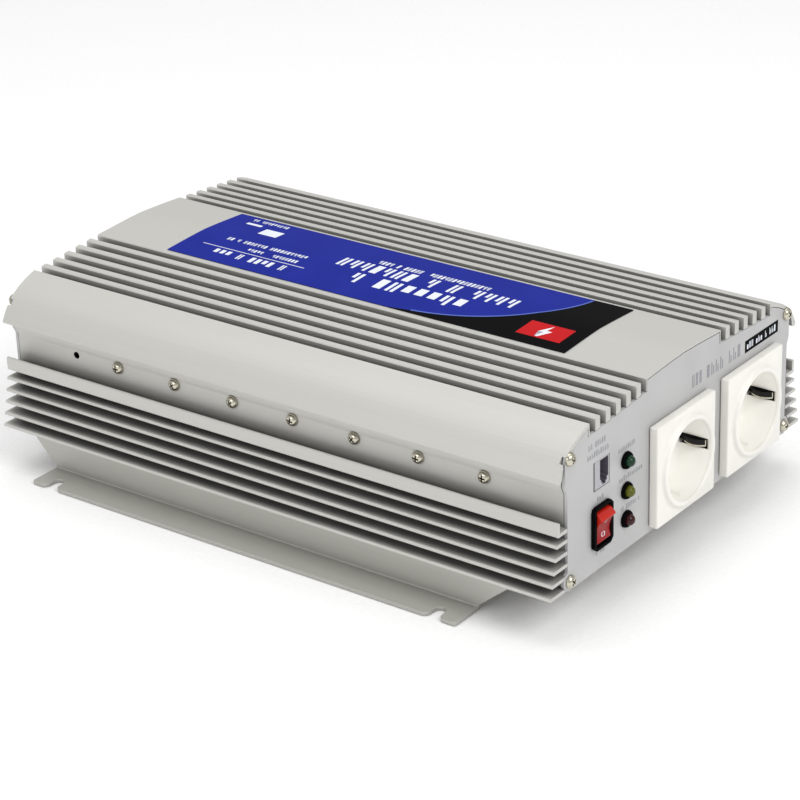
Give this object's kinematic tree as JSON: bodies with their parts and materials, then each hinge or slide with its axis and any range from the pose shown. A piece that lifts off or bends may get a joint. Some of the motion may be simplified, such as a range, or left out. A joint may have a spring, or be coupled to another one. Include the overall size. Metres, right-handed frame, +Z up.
{
  "type": "power inverter",
  "caption": "Finned aluminium power inverter with mains outlets, rocker switch, status lamps, remote socket, cooling fan, battery terminals and slotted mounting rails.",
  "frame": {"origin": "middle of the footprint, on the surface that the mounting rails stand on", "axes": "+X to the right seen from the outlet end, -Y out of the outlet end, +Z up"},
  "size_m": [0.2426, 0.3736, 0.1057],
  "materials": {
    "housing": "satin anodised, faint drawing lines along the length",
    "panel": "fine satin silver-grey coating",
    "sheet_metal": "satin",
    "outlet": "smooth semi-gloss warm white",
    "black_plastic": "fine matt black",
    "grey_plastic": "matt grey",
    "red_plastic": "semi-gloss red",
    "green_lens": "tinted translucent green",
    "amber_lens": "tinted translucent olive",
    "red_lens": "tinted translucent dark red",
    "label": "printed blue and black film, satin",
    "nickel": "nickel plated",
    "brass": "turned brass",
    "board": "green circuit board",
    "ferrite": "dark ferrite",
    "capacitor_sleeve": "dark blue sleeve"
  },
  "bodies": {
    "case": {"housing_extrusion": "housing", "transistor_bar_left": "housing", "transistor_bar_right": "housing", "base_plate": "sheet_metal", "mounting_rail_left": "sheet_metal", "mounting_rail_right": "sheet_metal", "front_panel": "panel", "rear_panel": "panel", "outlet_left_shell": "outlet", "outlet_right_shell": "outlet", "outlet_left_earth_clip": "nickel", "outlet_right_earth_clip": "nickel", "switch_housing": "black_plastic", "remote_port": "grey_plastic", "lamp_normal_bezel": "black_plastic", "lamp_over_temperature_bezel": "black_plastic", "lamp_overload_bezel": "black_plastic", "lamp_normal_lens": "green_lens", "lamp_over_temperature_lens": "amber_lens", "lamp_overload_lens": "red_lens", "top_label": "label", "fan_frame": "black_plastic", "ground_screw": "nickel", "circuit_board": "board", "transformer_1": "ferrite", "transformer_2": "ferrite", "bulk_capacitor": "capacitor_sleeve", "terminal_negative_collar": "black_plastic", "terminal_positive_collar": "red_plastic", "terminal_negative_stud": "brass", "terminal_positive_stud": "brass", "front_screw_1": "nickel", "rear_screw_1": "nickel", "front_screw_2": "nickel", "rear_screw_2": "nickel", "front_screw_3": "nickel", "rear_screw_3": "nickel", "front_screw_4": "nickel", "rear_screw_4": "nickel", "side_screw_left_1": "nickel", "side_screw_right_1": "nickel", "side_screw_left_2": "nickel", "side_screw_right_2": "nickel", "side_screw_left_3": "nickel", "side_screw_right_3": "nickel", "side_screw_left_4": "nickel", "side_screw_right_4": "nickel", "side_screw_left_5": "nickel", "side_screw_right_5": "nickel", "side_screw_left_6": "nickel", "side_screw_right_6": "nickel", "side_screw_left_7": "nickel", "side_screw_right_7": "nickel"},
    "rocker": {"switch_rocker": "red_plastic"},
    "fan": {"fan_rotor": "black_plastic"},
    "negative_washer": {"terminal_negative_washer": "nickel"},
    "negative_knob": {"terminal_negative_knob": "black_plastic"},
    "positive_washer": {"terminal_positive_washer": "nickel"},
    "positive_knob": {"terminal_positive_knob": "red_plastic"}
  },
  "joints": [
    {"name": "rocker_swing", "type": "hinge", "parent": "case", "child": "rocker", "pos_m": [-0.0723, -0.17725, 0.0455], "axis": [-1, 0, 0], "range_deg": [0, 26]},
    {"name": "fan_spin", "type": "hinge", "parent": "case", "child": "fan", "pos_m": [-0.045, 0.14595, 0.0595], "axis": [0, 1, 0], "continuous": true},
    {"name": "negative_knob_travel", "type": "slide", "parent": "case", "child": "negative_washer", "axis": [0, 1, 0], "range_m": [0, 0.005]},
    {"name": "negative_knob_turn", "type": "hinge", "parent": "negative_washer", "child": "negative_knob", "pos_m": [0.022, 0.17585, 0.055], "axis": [0, 1, 0], "range_deg": [0, 1440]},
    {"name": "positive_knob_travel", "type": "slide", "parent": "case", "child": "positive_washer", "axis": [0, 1, 0], "range_m": [0, 0.005]},
    {"name": "positive_knob_turn", "type": "hinge", "parent": "positive_washer", "child": "positive_knob", "pos_m": [0.068, 0.17585, 0.055], "axis": [0, 1, 0], "range_deg": [0, 1440]}
  ],
  "couplings": [
    {"joint": "negative_knob_turn", "follows": "negative_knob_travel", "rad_per_m": 5026.5},
    {"joint": "positive_knob_turn", "follows": "positive_knob_travel", "rad_per_m": 5026.5}
  ]
}
